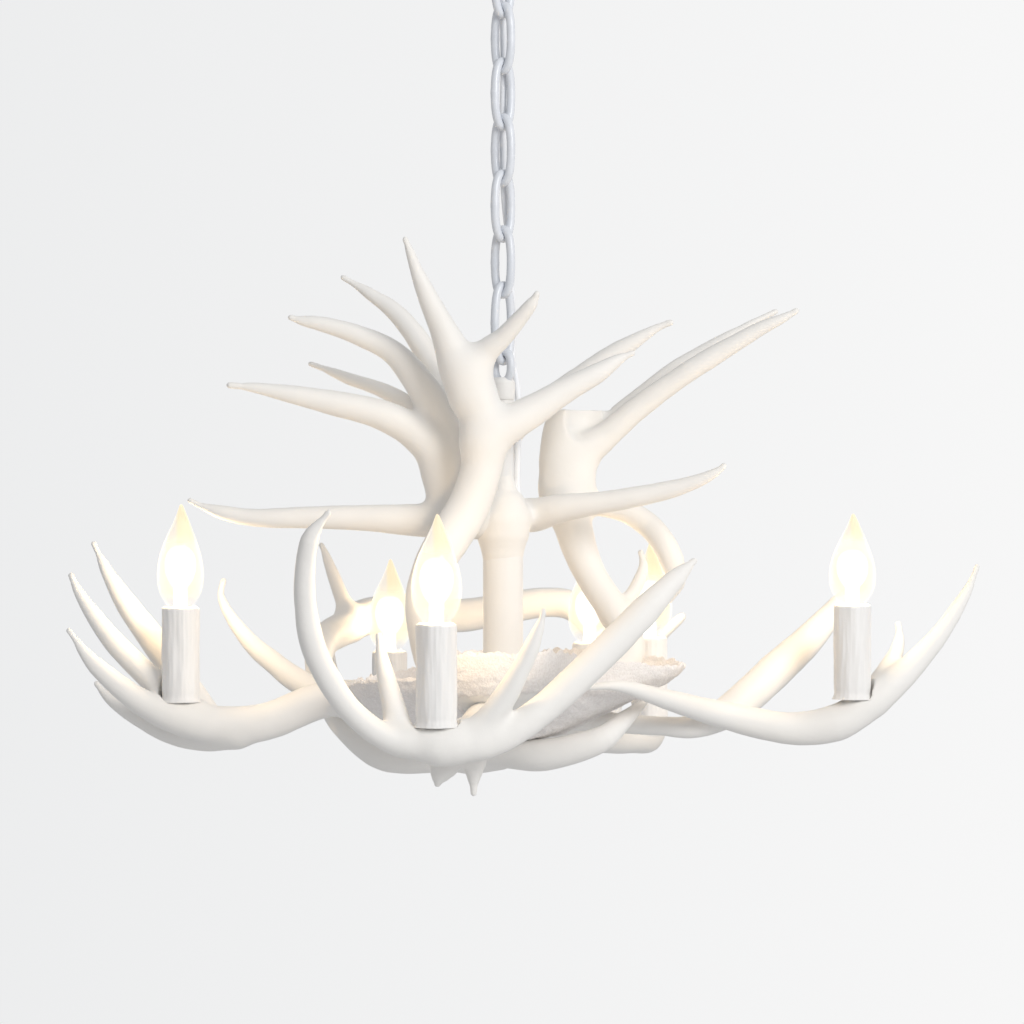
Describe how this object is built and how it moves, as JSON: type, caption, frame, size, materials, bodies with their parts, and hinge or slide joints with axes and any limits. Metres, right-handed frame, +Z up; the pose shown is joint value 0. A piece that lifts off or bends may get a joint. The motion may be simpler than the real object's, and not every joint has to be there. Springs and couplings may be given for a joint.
{
  "type": "antler chandelier",
  "caption": "Chain-hung chandelier of white antler arms round a stem and dish, with candle-style lights and a ceiling canopy.",
  "frame": {"origin": "on the ceiling plane, at the middle of the crossbar and on the chain's axis", "axes": "+Z up, into the ceiling; +X to the right and +Y away from the viewer as the lamp is usually seen"},
  "size_m": [0.6888, 0.5648, 0.6828],
  "materials": {
    "antler_resin": "cast resin, satin white paint",
    "dish_resin": "rough cast resin, grainy off-white",
    "candle_wax_white": "wax-like drip sleeve, matt",
    "socket_plastic": "moulded thermoset",
    "bulb_glass": "clear flame-tip glass, lit",
    "bulb_cap_metal": "nickel-plated brass",
    "cord_sheath": "PVC sheath, satin",
    "zinc_steel": "zinc-plated",
    "white_metal": "satin white paint"
  },
  "bodies": {
    "ceiling_mount": {"crossbar": "zinc_steel", "threaded_nipple": "zinc_steel", "lock_nut": "zinc_steel", "canopy_loop": "white_metal"},
    "canopy_cover": {"canopy": "white_metal", "collar_ring": "white_metal"},
    "link_1": {"chain_link_1": "white_metal"},
    "link_2": {"chain_link_2": "white_metal"},
    "link_3": {"chain_link_3": "white_metal"},
    "link_4": {"chain_link_4": "white_metal"},
    "link_5": {"chain_link_5": "white_metal"},
    "link_6": {"chain_link_6": "white_metal"},
    "lower_link": {"end_link": "white_metal"},
    "lamp": {"antler_screws": "zinc_steel", "back_left_antler": "antler_resin", "back_right_antler": "antler_resin", "candle_sleeve_back_left": "candle_wax_white", "candle_sleeve_back_right": "candle_wax_white", "candle_sleeve_front": "candle_wax_white", "candle_sleeve_left": "candle_wax_white", "candle_sleeve_right": "candle_wax_white", "candle_sleeve_side_rear": "candle_wax_white", "centre_column": "white_metal", "centre_pipe": "white_metal", "crown_front_antler": "antler_resin", "crown_left_antler": "antler_resin", "crown_rear_antler": "antler_resin", "crown_right_antler": "antler_resin", "front_antler": "antler_resin", "hub_cup": "white_metal", "hub_dish": "dish_resin", "hub_nuts": "zinc_steel", "hub_plate": "white_metal", "left_antler": "antler_resin", "power_cord": "cord_sheath", "right_antler": "antler_resin", "right_rear_antler": "antler_resin", "side_rear_antler": "antler_resin", "socket_back_left": "socket_plastic", "socket_back_right": "socket_plastic", "socket_front": "socket_plastic", "socket_left": "socket_plastic", "socket_right": "socket_plastic", "socket_side_rear": "socket_plastic", "threaded_rod": "zinc_steel", "top_loop": "white_metal", "under_antler": "antler_resin", "upper_hub": "white_metal"},
    "bulb_front": {"bulb_cap_front": "bulb_cap_metal", "bulb_glass_front": "bulb_glass"},
    "bulb_left": {"bulb_cap_left": "bulb_cap_metal", "bulb_glass_left": "bulb_glass"},
    "bulb_right": {"bulb_cap_right": "bulb_cap_metal", "bulb_glass_right": "bulb_glass"},
    "bulb_back_left": {"bulb_cap_back_left": "bulb_cap_metal", "bulb_glass_back_left": "bulb_glass"},
    "bulb_back_right": {"bulb_cap_back_right": "bulb_cap_metal", "bulb_glass_back_right": "bulb_glass"},
    "bulb_side_rear": {"bulb_cap_side_rear": "bulb_cap_metal", "bulb_glass_side_rear": "bulb_glass"}
  },
  "joints": [
    {"name": "canopy_slide", "type": "slide", "parent": "ceiling_mount", "child": "canopy_cover", "axis": [0, 0, -1], "range_m": [0, 0.045]},
    {"name": "link_1_swing", "type": "hinge", "parent": "ceiling_mount", "child": "link_1", "pos_m": [0, 0, -0.0627], "axis": [0.7071, -0.7071, 0], "range_deg": [-8, 8], "deforming": ["power_cord"]},
    {"name": "link_2_swing", "type": "hinge", "parent": "link_1", "child": "link_2", "pos_m": [0, 0, -0.1047], "axis": [0.7071, 0.7071, 0], "range_deg": [-8, 8], "deforming": ["power_cord"]},
    {"name": "link_3_swing", "type": "hinge", "parent": "link_2", "child": "link_3", "pos_m": [0, 0, -0.1467], "axis": [0.7071, -0.7071, 0], "range_deg": [-8, 8], "deforming": ["power_cord"]},
    {"name": "link_4_swing", "type": "hinge", "parent": "link_3", "child": "link_4", "pos_m": [0, 0, -0.1887], "axis": [0.7071, 0.7071, 0], "range_deg": [-8, 8], "deforming": ["power_cord"]},
    {"name": "link_5_swing", "type": "hinge", "parent": "link_4", "child": "link_5", "pos_m": [0, 0, -0.2307], "axis": [0.7071, -0.7071, 0], "range_deg": [-8, 8], "deforming": ["power_cord"]},
    {"name": "link_6_swing", "type": "hinge", "parent": "link_5", "child": "link_6", "pos_m": [0, 0, -0.2727], "axis": [0.7071, 0.7071, 0], "range_deg": [-8, 8], "deforming": ["power_cord"]},
    {"name": "lower_link_swing", "type": "hinge", "parent": "link_6", "child": "lower_link", "pos_m": [0, 0, -0.3147], "axis": [0.7071, -0.7071, 0], "range_deg": [-8, 8], "deforming": ["power_cord"]},
    {"name": "lamp_swing", "type": "hinge", "parent": "lower_link", "child": "lamp", "pos_m": [0, 0, -0.3647], "axis": [0.7071, 0.7071, 0], "range_deg": [-8, 8], "deforming": ["power_cord"]},
    {"name": "bulb_front_turn", "type": "hinge", "parent": "lamp", "child": "bulb_front", "pos_m": [-0.045, -0.2, -0.559], "axis": [0, 0, 1], "range_deg": [0, 1080]},
    {"name": "bulb_left_turn", "type": "hinge", "parent": "lamp", "child": "bulb_left", "pos_m": [-0.242, 0, -0.554], "axis": [0, 0, 1], "range_deg": [0, 1080]},
    {"name": "bulb_right_turn", "type": "hinge", "parent": "lamp", "child": "bulb_right", "pos_m": [0.262, 0, -0.552], "axis": [0, 0, 1], "range_deg": [0, 1080]},
    {"name": "bulb_back_left_turn", "type": "hinge", "parent": "lamp", "child": "bulb_back_left", "pos_m": [-0.093, 0.2, -0.596], "axis": [0, 0, 1], "range_deg": [0, 1080]},
    {"name": "bulb_back_right_turn", "type": "hinge", "parent": "lamp", "child": "bulb_back_right", "pos_m": [0.07, 0.2, -0.589], "axis": [0, 0, 1], "range_deg": [0, 1080]},
    {"name": "bulb_side_rear_turn", "type": "hinge", "parent": "lamp", "child": "bulb_side_rear", "pos_m": [0.114, 0.09, -0.58], "axis": [0, 0, 1], "range_deg": [0, 1080]}
  ]
}
